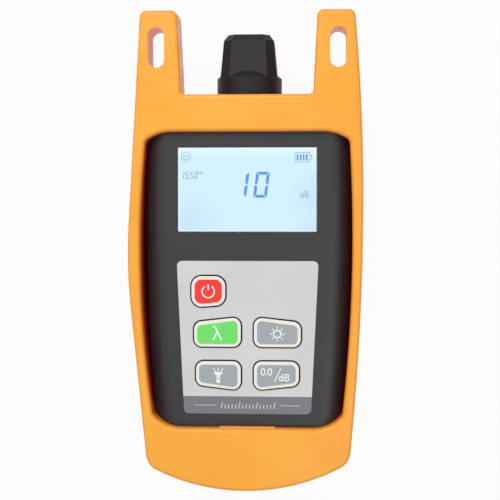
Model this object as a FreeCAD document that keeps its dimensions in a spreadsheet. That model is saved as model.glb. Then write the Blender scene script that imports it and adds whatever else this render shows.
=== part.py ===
"""Handheld optical power meter in a rubber protective boot, lying on its back.

Frame: millimetres, +Z out of the meter's face, +Y towards the fibre port, +X to the right of
the display.  The origin is on the boot's back face, on the meter's centreline.
Every piece is one object of the document, sized from the sheet called Sizes.
"""
import FreeCAD, Part
import math
import os
import re
import Sketcher

os.makedirs("parts", exist_ok=True)
doc = FreeCAD.newDocument("optical_power_meter")

# ---------------------------------------------------------------------------
# Driving dimensions, in millimetres and degrees
# ---------------------------------------------------------------------------
SIZES = {
    # boot, the rubber moulding round the meter; its left wall has crept outwards with use
    "boot_depth": 37.0, "ear_top": 88.7, "boot_shoulder": 57.7, "left_apex": 45.3,
    "left_apex_at": -6.0, "left_round": 200.0, "right_apex": 43.1, "right_apex_at": 18.0,
    "bumper_left": 37.7, "bumper_left_at": -81.2, "bumper_right": 38.3, "bumper_right_at": -79.5,
    "bumper_round": 76.0, "boot_corner": 7.0, "collar_back": 28.0, "shoulder_corner": 8.0,
    "boot_back_round": 6.0, "boot_rim": 1.5, "body_lap": 2.0, "past": 1.0, "end_cut": 6.0,
    # ears and their strap slots
    "ear_outer": 39.75, "ear_inner": 26.0, "ear_root": 24.5, "ear_root_round": 1.6,
    "ear_back": 20.0, "ear_foot": 49.0, "ear_corner": 2.4, "ear_inner_round": 3.0,
    "ear_side_round": 8.0, "slot_across": 33.75, "slot_low": 70.5, "slot_high": 79.4,
    "slot_half": 3.05,
    # window of the boot, through which the face shows, and the tab that locks it to the face
    "window_top": 43.9, "window_top_half": 28.0, "window_turn": 40.6, "window_turn_half": 38.0,
    "window_low": -61.8, "window_low_half": 35.6, "window_bottom": -66.8,
    "window_foot_half": 24.5, "window_left_round": 420.0, "window_right_round": 600.0,
    "window_turn_round": 2.5, "window_floor": 8.0, "window_lip": 1.8,
    "tab_half": 10.4, "tab_reach": 0.4, "tab_top": 35.4,
    # meter case, two halves that part at the port's axis
    "case_back": 3.0, "parting": 18.0, "face": 33.0, "case_wall": 2.0,
    "case_top": 54.5, "case_bottom": -75.0, "case_top_half": 38.8, "case_bottom_half": 35.4,
    "case_side_round": 1050.0,
    "case_corner": 10.0, "face_round": 9.0, "case_back_round": 5.5, "case_fit": 0.1,
    # display
    "glass_half": 26.05, "glass_low": 6.5, "glass_high": 38.25, "glass_corner": 0.8,
    "glass_fit": 0.3, "glass_flange": 2.0, "flange_thin": 0.8, "glass_sunk": 0.2,
    "cell_grow": 1.7, "cell_thick": 1.3, "light_thick": 1.2, "frame_wall": 1.4,
    # keypad
    "label_thick": 0.4, "label_high": -4.3, "label_low": -61.9, "label_top_half": 26.6,
    "label_low_half": 23.9, "label_corner": 1.9,
    "mat_thick": 1.5, "key_fit": 0.4, "key_skirt": 0.8, "skirt_thick": 1.0, "skirt_fit": 0.3,
    "key_proud": 0.9, "key_border": 1.65, "key_crown": 0.25, "key_corner": 3.4, "key_edge": 0.3,
    "key_travel": 0.8, "key_slack": 0.05, "stem_round": 2.2, "stem_lap": 0.5,
    "key_inner": 2.05, "key_outer": 20.45, "key_outer_low": 19.75,
    "upper_low": -36.95, "upper_inner": -24.9, "upper_outer": -26.9,
    "lower_high": -41.6, "lower_inner": -53.4, "lower_outer": -51.4,
    "power_left": -21.4, "power_right": -7.9, "power_high": -9.6, "power_low": -22.2,
    "power_lift": 1.0, "power_corner": 4.2,
    "dome_round": 3.5, "dome_top": 2.2, "dome_thick": 0.3,
    # main board and the posts that carry it
    "board_top": 27.6, "board_thick": 1.6, "board_half": 33.0, "board_high": 42.0,
    "board_low": -62.0, "board_corner": 2.0,
    "post_across": 30.3, "post_high": 0.5, "post_low": -56.0, "post_round": 2.2,
    "post_hole": 0.95, "post_screw": 0.9, "post_screw_end": 30.2, "post_head": 1.9,
    "post_head_thick": 1.3, "hole_spare": 0.3,
    "chip_half": 7.0, "chip_low": -10.0, "chip_thick": 1.5,
    "can_half": 13.0, "can_low": 14.0, "can_high": 36.0, "can_thick": 4.0,
    # case screws and their bosses
    "boss_across_high": 31.0, "boss_high": 45.8, "boss_across_low": 28.0, "boss_low": -66.5,
    "boss_round": 3.3, "pilot_round": 1.45, "screw_round": 1.4, "screw_clear": 1.6,
    "head_round": 2.5, "head_thick": 1.9, "head_sink": 2.6, "head_room": 2.7,
    "screw_end": 27.5, "pilot_end": 28.5,
    # battery bay, three cells on the cover
    "bay_half": 22.4, "bay_low": -65.0, "bay_high": -12.5, "bay_wall": 1.4, "bay_rib": 11.0,
    "battery_round": 7.25, "battery_can": 49.5, "battery_tip": 1.0, "battery_tip_round": 2.7,
    "battery_edge": 0.8, "battery_pitch": 15.0,
    "contact_half": 4.5, "contact_thick": 0.4, "contact_dimple": 0.6, "dimple_round": 1.8,
    "cover_ledge": 1.5, "cover_fit": 0.15, "cover_corner": 2.0,
    # fibre port, turned about an axis along Y
    "port_height": 18.0, "boot_port": 13.4,
    "barrel_low": 41.0, "barrel_round": 7.9, "barrel_flange": 10.4, "flange_thick": 1.6,
    "barrel_high": 61.0, "barrel_bore": 4.65, "barrel_step": 50.0, "barrel_mouth": 4.15,
    "detector_flange": 4.55, "detector_brim": 1.0, "detector_round": 4.0, "detector_high": 54.0,
    "lead_round": 0.3, "lead_ring": 2.4, "lead_low": 43.0,
    "panel_nut": 9.9, "panel_nut_thick": 2.5,
    "adapter_low": 55.0, "adapter_spigot": 4.1, "adapter_flange": 7.85, "adapter_step": 64.0,
    "adapter_neck": 4.9, "adapter_tip": 75.6, "adapter_edge": 0.5, "ferrule_bore": 1.25,
    "nut_low": 57.3, "nut_high": 65.4, "nut_round": 9.4, "nut_bore": 7.95, "nut_mouth": 5.1,
    "nut_web": 64.05, "nut_rib": 0.7, "nut_ribs": 24, "rib_sunk": 0.3, "rib_end": 0.8,
    # dust cap
    "cap_low": 54.8, "cap_collar": 12.4, "cap_shoulder": 64.8, "cap_slope": 1.18,
    "cap_core": 9.0, "cap_wide": 10.75, "cap_chamfer": 78.8, "cap_narrow": 9.5,
    "cap_end": 81.1, "cap_flat": 7.85, "cap_thin": 0.92, "cap_front_flat": 0.67,
    "cap_side_flat": 0.58, "cap_bore": 10.4, "cap_bore_end": 65.9, "cap_well": 6.0,
    "cap_well_end": 78.5, "cap_edge": 0.4,
    # torch lamp
    "torch_across": 19.5, "torch_round": 2.5, "torch_hole": 3.1, "torch_brim": 2.9,
    "torch_low": 45.5, "torch_brim_thick": 1.0, "torch_tip": 56.4,
}

sheet = doc.addObject("Spreadsheet::Sheet", "Sizes")
for row, (alias, number) in enumerate(SIZES.items(), start=1):
    sheet.set(f"A{row}", alias)
    sheet.set(f"B{row}", str(number))
    sheet.setAlias(f"B{row}", alias)
doc.recompute()


def formula(text):
    """The formula with each alias written as a cell of the sheet."""
    return re.sub(r"[a-z][a-z_]*", lambda w: "Sizes." + w[0] if w[0] in SIZES else w[0], str(text))


def value(text):
    """What a formula of the sheet comes to."""
    return float(sheet.evalExpression(formula(text)))


def bind(target, **formulas):
    """Bind properties to formulas; a double underscore in a name stands for a dot."""
    for name, text in formulas.items():
        target.setExpression(name.replace("__", "."), formula(text))


# ---------------------------------------------------------------------------
# Sketches and the features made from them
# ---------------------------------------------------------------------------
def new_body(label):
    body = doc.addObject("PartDesign::Body", label)
    body.Label = label
    return body


def new_sketch(body, name, plane="XY", offset="0"):
    """A sketch on one of the body's own origin planes, moved along its normal by offset."""
    sketch = body.newObject("Sketcher::SketchObject", name)
    support = [item for item in body.Origin.OriginFeatures if item.Role == f"{plane}_Plane"][0]
    sketch.AttachmentSupport = [(support, "")]
    sketch.MapMode = "FlatFace"
    bind(sketch, AttachmentOffset__Base__z=offset)
    return sketch


def fix_point(sketch, edge, end, corner):
    """Dimension one end of an edge from the sketch's origin."""
    for kind, text in zip(("DistanceX", "DistanceY"), corner):
        number = sketch.addConstraint(
            Sketcher.Constraint(kind, -1, 1, edge, end, value(text)))
        sketch.setExpression(f"Constraints[{number}]", formula(text))


def add_outline(sketch, corners, arcs=None):
    """A closed outline through the corners; arcs maps a corner to the radius of its next edge."""
    arcs = arcs or {}
    points = [FreeCAD.Vector(value(across), value(up), 0) for across, up in corners]
    first = sketch.GeometryCount
    count = len(points)
    for index, start in enumerate(points):
        end = points[(index + 1) % count]
        if index in arcs:
            chord = end - start
            radius = value(arcs[index])
            rise = radius - math.sqrt(radius ** 2 - (chord.Length / 2) ** 2)
            outward = FreeCAD.Vector(chord.y, -chord.x, 0).normalize()
            middle = (start + end) / 2 + outward * rise
            bow = Part.Arc(start, middle, end).toShape()
            sketch.addGeometry(Part.ArcOfCircle(bow.Curve, *bow.ParameterRange))
        else:
            sketch.addGeometry(Part.LineSegment(start, end))
    for index in range(count):
        sketch.addConstraint(Sketcher.Constraint(
            "Coincident", first + index, 2, first + (index + 1) % count, 1))
        fix_point(sketch, first + index, 1, corners[index])
    for index, radius in arcs.items():
        number = sketch.addConstraint(
            Sketcher.Constraint("Radius", first + index, value(radius)))
        sketch.setExpression(f"Constraints[{number}]", formula(radius))
    return sketch


def pad(body, sketch, length):
    """A Pad of the sketch along its normal."""
    feature = body.newObject("PartDesign::Pad", f"{sketch.Name}_pad")
    feature.Profile = sketch
    bind(feature, Length=length)
    doc.recompute()


def revolve(body, sketch, axis="V_Axis"):
    """A full turn of the sketch about its own upright or level axis."""
    feature = body.newObject("PartDesign::Revolution", f"{sketch.Name}_turn")
    feature.Profile = sketch
    feature.ReferenceAxis = (sketch, [axis])
    feature.Angle = 360
    doc.recompute()
    return feature


def fillet(body, radius, chosen):
    """Round the edges of the body's tip that chosen picks."""
    base = body.Tip
    names = [f"Edge{i + 1}" for i, edge in enumerate(base.Shape.Edges) if chosen(edge)]
    feature = body.newObject("PartDesign::Fillet", f"{body.Name}_round")
    feature.Base = (base, names)
    bind(feature, Radius=radius)
    doc.recompute()
    return feature


LEVEL = 1e-4  # how far an edge may stray and still count as upright or level
NEAR = 0.05  # how far from its named corner an upright edge may stand


def upright(edge):
    """Whether an edge is a straight one along Z."""
    box = edge.BoundBox
    return box.XLength < LEVEL and box.YLength < LEVEL


def upright_at(*corners):
    """Picks the upright edges that stand on any of these corners of a plan."""
    places = [(value(across), value(along)) for across, along in corners]

    def chosen(edge):
        middle = edge.BoundBox.Center
        return upright(edge) and any(
            math.hypot(middle.x - across, middle.y - along) < NEAR for across, along in places)
    return chosen


def level_at(height):
    """Picks the edges that lie at one height."""
    level = value(height)
    return lambda edge: max(abs(edge.BoundBox.ZMin - level),
                            abs(edge.BoundBox.ZMax - level)) < LEVEL


# ---------------------------------------------------------------------------
# Primitives and booleans
# ---------------------------------------------------------------------------
def box(name, left, right, low, high, bottom, top):
    """A Part::Box between two formulas on each axis."""
    block = doc.addObject("Part::Box", name)
    bind(block, Length=f"({right}) - ({left})", Width=f"({high}) - ({low})",
         Height=f"({top}) - ({bottom})", Placement__Base__x=left, Placement__Base__y=low,
         Placement__Base__z=bottom)
    return block


def rod(name, across, along, bottom, top, radius):
    """A Part::Cylinder that stands along Z."""
    cylinder = doc.addObject("Part::Cylinder", name)
    bind(cylinder, Radius=radius, Height=f"({top}) - ({bottom})", Placement__Base__x=across,
         Placement__Base__y=along, Placement__Base__z=bottom)
    return cylinder


def bar(name, across, height, near, far, radius):
    """A Part::Cylinder that lies along Y, from near to far."""
    cylinder = doc.addObject("Part::Cylinder", name)
    cylinder.Placement.Rotation = FreeCAD.Rotation(FreeCAD.Vector(1, 0, 0), -90)
    bind(cylinder, Radius=radius, Height=f"({far}) - ({near})", Placement__Base__x=across,
         Placement__Base__y=near, Placement__Base__z=height)
    return cylinder


def fuse(name, pieces):
    joined = doc.addObject("Part::MultiFuse", name)
    joined.Shapes = pieces
    joined.Refine = True
    return joined


def cut(name, base, tools):
    """The base less its tools."""
    tool = tools[0]
    if len(tools) > 1:
        tool = fuse(f"{name}_tools", tools)
    result = doc.addObject("Part::Cut", name)
    result.Base = base
    result.Tool = tool
    result.Refine = True
    return result


def group(name, pieces):
    """Several like pieces, apart from each other, in one node."""
    compound = doc.addObject("Part::Compound", name)
    compound.Links = pieces
    return compound


NODES = {}


def node(name, piece):
    """Keep an object as one of the meter's pieces, under its own name."""
    piece.Label = name
    NODES[name] = piece
    return piece


def both_ways(pairs):
    """Each (across, along) pair and its mirror image in the YZ plane."""
    return [(f"{sign}({across})", along) for across, along in pairs for sign in ("", "-")]


# ---------------------------------------------------------------------------
# The case: one tapered, round-cornered plan, used for both halves and for the boot's cavity
# ---------------------------------------------------------------------------
def case_plan(inset):
    """The case's plan, drawn in by inset, from the lower left corner anticlockwise."""
    return [
        (f"-case_bottom_half + {inset}", f"case_bottom + {inset}"),
        (f"case_bottom_half - {inset}", f"case_bottom + {inset}"),
        (f"case_top_half - {inset}", f"case_top - {inset}"),
        (f"-case_top_half + {inset}", f"case_top - {inset}"),
    ]


def case_blank(name, inset, bottom, top, back_round="", front_round=""):
    """A block of the case's plan with its upright corners, back and front edges rounded."""
    body = new_body(name)
    plan = case_plan(inset)
    side_round = f"case_side_round - ({inset})"
    sketch = add_outline(new_sketch(body, f"{name}_plan", offset=bottom), plan,
                         arcs={1: side_round, 3: side_round})
    pad(body, sketch, f"({top}) - ({bottom})")
    fillet(body, f"case_corner - ({inset})", upright_at(*plan))
    if front_round:
        fillet(body, front_round, level_at(top))
    if back_round:
        fillet(body, back_round, level_at(bottom))
    return body


# ---------------------------------------------------------------------------
# Boot
# ---------------------------------------------------------------------------
def tangent_round(reach, drop):
    """The radius of an arc that starts along a line, runs reach along it and drop away."""
    return f"((({reach}) ^ 2 + ({drop}) ^ 2) / (2 * ({drop})))"


RIGHT_HIGH = tangent_round("ear_top - right_apex_at", "right_apex - ear_outer")
RIGHT_LOW = tangent_round("right_apex_at - bumper_right_at", "right_apex - bumper_right")


def boot_side(side, along):
    """Where a side wall is: the left one runs straight from its apex, the right one bows."""
    if side == "left":
        slope = "(left_apex - ear_outer) / (ear_top - left_apex_at)"
        return f"-(left_apex - ({along} - left_apex_at) * {slope})"
    return f"right_apex - {RIGHT_HIGH} + sqrt({RIGHT_HIGH} ^ 2 - ({along} - right_apex_at) ^ 2)"


def boot_outline(body, name, offset, head):
    """The boot's plan: a curved bumper, the two side walls, and the corners of its head."""
    plan = [("-bumper_left", "bumper_left_at"), ("bumper_right", "bumper_right_at"),
            ("right_apex", "right_apex_at")] + head + [("-left_apex", "left_apex_at")]
    arcs = {0: "bumper_round", 1: RIGHT_LOW, 2: RIGHT_HIGH}
    return add_outline(new_sketch(body, name, offset=offset), plan, arcs)


def round_sides(body):
    """Blend the left wall at its widest place, and round the bumper's corners."""
    fillet(body, "left_round", upright_at(("-left_apex", "left_apex_at")))
    fillet(body, "boot_corner", upright_at(("-bumper_left", "bumper_left_at"),
                                           ("bumper_right", "bumper_right_at")))


def boot_hull():
    """The boot's back part, which ends in a level shoulder."""
    body = new_body("boot_hull")
    shoulder = [(boot_side(side, "boot_shoulder"), "boot_shoulder") for side in ("right", "left")]
    pad(body, boot_outline(body, "hull_plan", "0", shoulder), "collar_back + body_lap")
    round_sides(body)
    fillet(body, "shoulder_corner", upright_at(*shoulder))
    fillet(body, "boot_back_round", level_at("0"))
    return body


def boot_collar():
    """The boot's front part: the same plan with both ears, and one soft rim all round."""
    body = new_body("boot_collar")
    tips = both_ways([("ear_outer", "ear_top"), ("ear_inner", "ear_top")])
    roots = both_ways([("ear_root", "boot_shoulder")])
    head = [tips[0], tips[2], roots[0], roots[1], tips[3], tips[1]]
    pad(body, boot_outline(body, "collar_plan", "collar_back", head), "boot_depth - collar_back")
    round_sides(body)
    fillet(body, "ear_corner", upright_at(*tips))
    fillet(body, "ear_root_round", upright_at(*roots))
    fillet(body, "boot_rim", level_at("boot_depth"))
    return body


def boot_ear(side):
    """The back of one ear: it rises from inside the hull and thins to its outer side."""
    body = new_body(f"{side}_ear")
    sign = "-" if side == "left" else ""
    inner_foot = "(ear_root - (boot_shoulder - ear_foot) * (ear_inner - ear_root)"
    inner_foot += " / (ear_top - boot_shoulder))"
    plan = [
        (f"{sign}{inner_foot}", "ear_foot"), (boot_side(side, "ear_foot"), "ear_foot"),
        (f"{sign}ear_outer", "ear_top"), (f"{sign}ear_inner", "ear_top"),
    ]
    arcs = {1: RIGHT_HIGH}
    if side == "left":
        plan, arcs = plan[::-1], {}
    sketch = add_outline(new_sketch(body, f"{side}_ear_plan", offset="ear_back"), plan, arcs)
    pad(body, sketch, "collar_back + body_lap - ear_back")
    middle = value("(ear_outer + ear_inner) / 2")
    long_enough = value("(ear_top - boot_shoulder) / 2")

    def long_back_edge(outer):
        def chosen(edge):
            across = abs(edge.BoundBox.Center.x)
            return level_at("ear_back")(edge) and edge.BoundBox.YLength > long_enough and (
                across > middle) == outer
        return chosen

    def end_edge(edge):
        box = edge.BoundBox
        return abs(box.YMin - value("ear_top")) < NEAR and box.ZMax < value("collar_back")
    fillet(body, "ear_side_round", long_back_edge(True))
    fillet(body, "ear_inner_round", long_back_edge(False))
    fillet(body, "ear_corner", end_edge)
    return body


def boot_window():
    """What the boot's window takes out, from beside the case up through the front.

    Each end of the window runs level and bends down in an arc to a tighter turn, and the long
    sides bow outwards, the left one more because its wall has crept away from the case.
    """
    body = new_body("boot_window")
    half = [("window_foot_half", "window_bottom"), ("window_low_half", "window_low"),
            ("window_turn_half", "window_turn"), ("window_top_half", "window_top")]
    plan = half + [(f"-{across}", along) for across, along in reversed(half)]
    foot = tangent_round("window_low_half - window_foot_half", "window_low - window_bottom")
    top = tangent_round("window_turn_half - window_top_half", "window_top - window_turn")
    arcs = {0: foot, 1: "window_right_round", 2: top, 4: top, 5: "window_left_round", 6: foot}
    sketch = add_outline(new_sketch(body, "boot_window_plan", offset="window_floor"), plan, arcs)
    pad(body, sketch, "boot_depth - window_floor + past")
    fillet(body, "window_turn_round", upright_at(*both_ways(half[1:3])))
    return body


def window_edge(edge):
    """Whether an edge belongs to the window's mouth in the boot's front."""
    box = edge.BoundBox
    return (level_at("boot_depth")(edge) and abs(box.Center.x) < value("right_apex - boot_rim")
            and box.YMin > value("window_bottom - window_lip")
            and box.YMax < value("window_top + window_lip"))


def strap_slot(side, sign):
    """A round-ended slot through an ear."""
    across = f"{sign}slot_across"
    low, high = [rod(f"{side}_{end}", across, end, "ear_back - past", "boot_depth + past",
                     "slot_half") for end in ("slot_low", "slot_high")]
    middle = box(f"{side}_slot_middle", f"{across} - slot_half", f"{across} + slot_half",
                 "slot_low", "slot_high", "ear_back - past", "boot_depth + past")
    return fuse(f"{side}_slot", [low, high, middle])


def make_boot():
    blank = fuse("boot_blank", [
        boot_hull(), boot_collar(), boot_ear("left"), boot_ear("right")])
    cavity = case_blank("boot_cavity", "-case_fit", "case_back", "face",
                        "case_back_round", "face_round")
    port = bar("boot_port_hole", "0", "port_height", "case_top - end_cut",
               "boot_shoulder + past", "boot_port")
    torch = bar("boot_torch_hole", "torch_across", "port_height", "case_top - end_cut",
                "boot_shoulder + past", "torch_hole")
    tools = [cavity, boot_window(), port, torch, strap_slot("left", "-"), strap_slot("right", "")]
    hollow = cut("boot_cut", blank, tools)
    doc.recompute()
    body = new_body("boot_moulding")
    body.BaseFeature = hollow
    doc.recompute()
    fillet(body, "window_lip", window_edge)
    tab = box("boot_tab", "-tab_half", "tab_half", "window_bottom - window_lip / 2",
              "window_bottom + tab_reach", "face + case_fit", "tab_top")
    node("protective_boot", fuse("boot_with_tab", [body, tab]))


# ---------------------------------------------------------------------------
# Plans shared by several pieces
# ---------------------------------------------------------------------------
def quad(left, right, low_left, low_right, high_left, high_right, growth="0"):
    """A four-cornered plan with upright sides, grown outwards by growth."""
    return [
        (f"{left} - ({growth})", f"{low_left} - ({growth})"),
        (f"{right} + {growth}", f"{low_right} - ({growth})"),
        (f"{right} + {growth}", f"{high_right} + {growth}"),
        (f"{left} - ({growth})", f"{high_left} + {growth}"),
    ]


def label_plan(growth="0"):
    """The keypad label's tapered plan."""
    return [
        (f"-label_low_half - ({growth})", f"label_low - ({growth})"),
        (f"label_low_half + {growth}", f"label_low - ({growth})"),
        (f"label_top_half + {growth}", f"label_high + {growth}"),
        (f"-label_top_half - ({growth})", f"label_high + {growth}"),
    ]


def glass_plan(growth="0"):
    """The display window's plan."""
    return quad("-glass_half", "glass_half", "glass_low", "glass_low", "glass_high",
                "glass_high", growth)


# Each key: its quad's left, right, low left, low right, high left, high right, and corner
KEYS = {
    "key_power": ("power_left", "power_right", "power_low", "power_low + power_lift",
                  "power_high", "power_high", "power_corner"),
    "key_wavelength": ("-key_outer", "-key_inner", "upper_low", "upper_low",
                       "upper_outer", "upper_inner", "key_corner"),
    "key_backlight": ("key_inner", "key_outer", "upper_low", "upper_low",
                      "upper_inner", "upper_outer", "key_corner"),
    "key_torch": ("-key_outer_low", "-key_inner", "lower_outer", "lower_inner",
                  "lower_high", "lower_high", "key_corner"),
    "key_reference": ("key_inner", "key_outer_low", "lower_inner", "lower_outer",
                      "lower_high", "lower_high", "key_corner"),
}


def key_middle(name):
    """The middle of a key's plan, as two formulas."""
    left, right, low_left, low_right, high_left, high_right = KEYS[name][:6]
    return (f"({left} + {right}) / 2",
            f"({low_left} + {low_right} + {high_left} + {high_right}) / 4")


def slab(name, plan, bottom, top, corner):
    """A flat piece of a four-cornered plan with rounded upright corners."""
    body = new_body(name)
    pad(body, add_outline(new_sketch(body, f"{name}_plan", offset=bottom), plan),
        f"({top}) - ({bottom})")
    fillet(body, corner, upright)
    return body


def key_holes(name, growth, bottom, top):
    """Blocks of the five keys' plans, grown, that open a sheet for the keys."""
    return [slab(f"{name}_{key}", quad(*shape[:6], growth), bottom, top,
                 f"{shape[6]} + {growth}") for key, shape in KEYS.items()]


# ---------------------------------------------------------------------------
# Case halves
# ---------------------------------------------------------------------------
BOSSES = both_ways([("boss_across_high", "boss_high"), ("boss_across_low", "boss_low")])
POSTS = both_ways([("post_across", "post_high"), ("post_across", "post_low")])


def rods(name, places, bottom, top, radius):
    """Like upright rods at several places."""
    return [rod(f"{name}_{number}", across, along, bottom, top, radius)
            for number, (across, along) in enumerate(places, start=1)]


def end_holes(name):
    """The port's and the torch's holes through the case's top end, and the port's seat in it."""
    return [bar(f"{name}_port", "0", "port_height", "case_top - end_cut", "case_top + past",
                "barrel_round"),
            bar(f"{name}_seat", "0", "port_height", "case_top - end_cut", "case_top - case_wall",
                "barrel_flange"),
            bar(f"{name}_torch", "torch_across", "port_height", "case_top - end_cut",
                "case_top + past", "torch_round")]


def make_front_case():
    shell = case_blank("front_shell", "0", "parting", "face", front_round="face_round")
    hollow = case_blank("front_hollow", "case_wall", "parting", "face - case_wall",
                        front_round="face_round - case_wall")
    stays = rods("front_boss", BOSSES, "parting - past", "face", "boss_round")
    stays += rods("front_post", POSTS, "board_top", "face", "post_round")
    room = cut("front_room", hollow, stays)
    tools = [room]
    tools += rods("pilot", BOSSES, "parting - past", "pilot_end", "pilot_round")
    tools += rods("post_hole", POSTS, "board_top - past", "post_screw_end + hole_spare",
                  "post_hole")
    tools += end_holes("front")
    tools.append(slab("display_opening", glass_plan("glass_fit"), "face - case_wall - past",
                      "face + past", "glass_corner + glass_fit"))
    tools.append(slab("label_recess", label_plan(), "face - label_thick", "face + past",
                      "label_corner"))
    tools += key_holes("case_hole", "0", "face - case_wall - past", "face")
    node("front_case", cut("front_case_cut", shell, tools))


def make_rear_case():
    shell = case_blank("rear_shell", "0", "case_back", "parting", back_round="case_back_round")
    hollow = case_blank("rear_hollow", "case_wall", "case_back + case_wall", "parting",
                        back_round="case_back_round - case_wall")
    stays = rods("rear_boss", BOSSES, "case_back", "parting + past", "boss_round")
    rib_top = "case_back + case_wall + bay_rib"
    outer = box("bay_outer", "-bay_half - bay_wall", "bay_half + bay_wall",
                "bay_low - bay_wall", "bay_high + bay_wall", "case_back", rib_top)
    inner = box("bay_inner", "-bay_half", "bay_half", "bay_low", "bay_high",
                "case_back - past", f"{rib_top} + past")
    stays.append(cut("bay_frame", outer, [inner]))
    tools = [cut("rear_room", hollow, stays)]
    tools += rods("screw_hole", BOSSES, "case_back", "parting + past", "screw_clear")
    tools += rods("screw_sink", BOSSES, "case_back - past", "case_back + head_sink", "head_room")
    tools += end_holes("rear")
    tools.append(box("bay_opening", "-bay_half", "bay_half", "bay_low", "bay_high",
                     "case_back - past", "case_back + case_wall + past"))
    tools.append(slab("cover_recess", bay_plan("cover_ledge"), "case_back - past",
                      "case_back + case_wall / 2", "cover_corner"))
    node("rear_case", cut("rear_case_cut", shell, tools))


def bay_plan(growth):
    return quad("-bay_half", "bay_half", "bay_low", "bay_low", "bay_high", "bay_high", growth)


def make_battery_cover():
    """A flat cover: a flange that lies in the rear case's recess, and a plug that fills the bay."""
    body = slab("battery_cover", bay_plan("cover_ledge - cover_fit"), "case_back",
                "case_back + case_wall / 2", "cover_corner - cover_fit")
    plug = add_outline(new_sketch(body, "cover_plug", offset="case_back + case_wall / 2"),
                       bay_plan("-cover_fit"))
    pad(body, plug, "case_wall / 2")
    node("battery_cover", body)


def make_case_screws():
    """Four pan-head screws that pull the rear case against the front one."""
    screws = []
    for number, (across, along) in enumerate(BOSSES, start=1):
        seat = "case_back + head_sink"
        head = rod(f"screw_head_{number}", across, along, f"{seat} - head_thick", seat,
                   "head_round")
        shank = rod(f"screw_shank_{number}", across, along, seat, "screw_end", "screw_round")
        screws.append(fuse(f"case_screw_{number}", [head, shank]))
    node("case_screws", group("case_screw_group", screws))


# ---------------------------------------------------------------------------
# Display stack
# ---------------------------------------------------------------------------
def make_display():
    """Window, display cell, lit panel and the frame that holds them on the board."""
    window = slab("display_boss", glass_plan(), "face - case_wall - flange_thin",
                  "face - glass_sunk", "glass_corner")
    flange = slab("display_flange", glass_plan("glass_flange"),
                  "face - case_wall - flange_thin", "face - case_wall", "glass_corner")
    node("lcd_window", fuse("lcd_window_fused", [window, flange]))
    cell_low = "board_top + light_thick"
    node("backlight_panel", slab("backlight_panel", glass_plan("cell_grow"), "board_top",
                                 cell_low, "glass_corner"))
    node("lcd_glass", slab("lcd_glass", glass_plan("cell_grow"), cell_low,
                           f"{cell_low} + cell_thick", "glass_corner"))
    outer = slab("frame_outer", glass_plan("cell_grow + frame_wall"), "board_top",
                 f"{cell_low} + cell_thick", "glass_corner")
    inner = slab("frame_inner", glass_plan("cell_grow"), "board_top - past", "face",
                 "glass_corner")
    node("lcd_frame", cut("lcd_frame_cut", outer, [inner]))


# ---------------------------------------------------------------------------
# Keypad
# ---------------------------------------------------------------------------
def make_key(name):
    """One key: a crowned cap, a skirt that stays under the case's face, and a stem."""
    shape = KEYS[name]
    corner = shape[6]
    skirt_low = "face - case_wall - mat_thick"
    cap_top = "face + key_proud"
    body = slab(name, quad(*shape[:6], "-key_fit"), skirt_low, cap_top, f"{corner} - key_fit")
    fillet(body, "key_edge", level_at(cap_top))
    crown = slab(f"{name}_crown", quad(*shape[:6], "-key_border"), "face",
                 f"{cap_top} + key_crown", f"{corner} - key_border")
    skirt = slab(f"{name}_skirt", quad(*shape[:6], "key_skirt"), skirt_low,
                 f"{skirt_low} + skirt_thick", f"{corner} + key_skirt")
    stem_low = "board_top + dome_thick + key_slack + key_travel"
    stem = rod(f"{name}_stem", *key_middle(name), stem_low, f"{skirt_low} + stem_lap", "stem_round")
    node(name, fuse(f"{name}_fused", [body, crown, skirt, stem]))


def make_keypad():
    label = slab("label_sheet", label_plan(), "face - label_thick", "face", "label_corner")
    slots = key_holes("label_hole", "0", "face - label_thick - past", "face + past")
    node("keypad_label", cut("keypad_label_cut", label, slots))
    sheet_body = slab("mat_sheet", label_plan(), "face - case_wall - mat_thick",
                      "face - case_wall", "label_corner")
    holes = key_holes("mat_hole", "key_skirt + skirt_fit", "face - case_wall - mat_thick - past",
                      "face")
    node("keypad_mat", cut("keypad_mat_cut", sheet_body, holes))
    domes = []
    for name in KEYS:
        make_key(name)
        dome = doc.addObject("Part::Cone", f"{name}_dome")
        across, along = key_middle(name)
        bind(dome, Radius1="dome_round", Radius2="dome_top", Height="dome_thick",
             Placement__Base__x=across, Placement__Base__y=along, Placement__Base__z="board_top")
        domes.append(dome)
    node("dome_switches", group("dome_group", domes))


# ---------------------------------------------------------------------------
# Main board and what it carries
# ---------------------------------------------------------------------------
def make_board():
    board_low = "board_top - board_thick"
    board = slab("board_sheet", quad("-board_half", "board_half", "board_low", "board_low",
                                     "board_high", "board_high"),
                 board_low, "board_top", "board_corner")
    holes = rods("board_hole", POSTS, f"{board_low} - past", "board_top + past", "post_hole")
    node("main_board", cut("main_board_cut", board, holes))
    screws = []
    for number, (across, along) in enumerate(POSTS, start=1):
        head = rod(f"board_head_{number}", across, along, f"{board_low} - post_head_thick",
                   board_low, "post_head")
        shank = rod(f"board_shank_{number}", across, along, board_low, "post_screw_end",
                    "post_screw")
        screws.append(fuse(f"board_screw_{number}", [head, shank]))
    node("board_screws", group("board_screw_group", screws))
    node("microcontroller", box("microcontroller", "-chip_half", "chip_half", "chip_low",
                                "chip_low + chip_half * 2", f"{board_low} - chip_thick",
                                board_low))
    node("shield_can", box("shield_can", "-can_half", "can_half", "can_low", "can_high",
                           f"{board_low} - can_thick", board_low))


# ---------------------------------------------------------------------------
# Batteries
# ---------------------------------------------------------------------------
def turned(name, profile, height="0"):
    """A piece turned about an axis along Y at a height; profile runs (radius, along)."""
    body = new_body(name)
    revolve(body, add_outline(new_sketch(body, f"{name}_profile", offset=height), profile))
    return body


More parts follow.
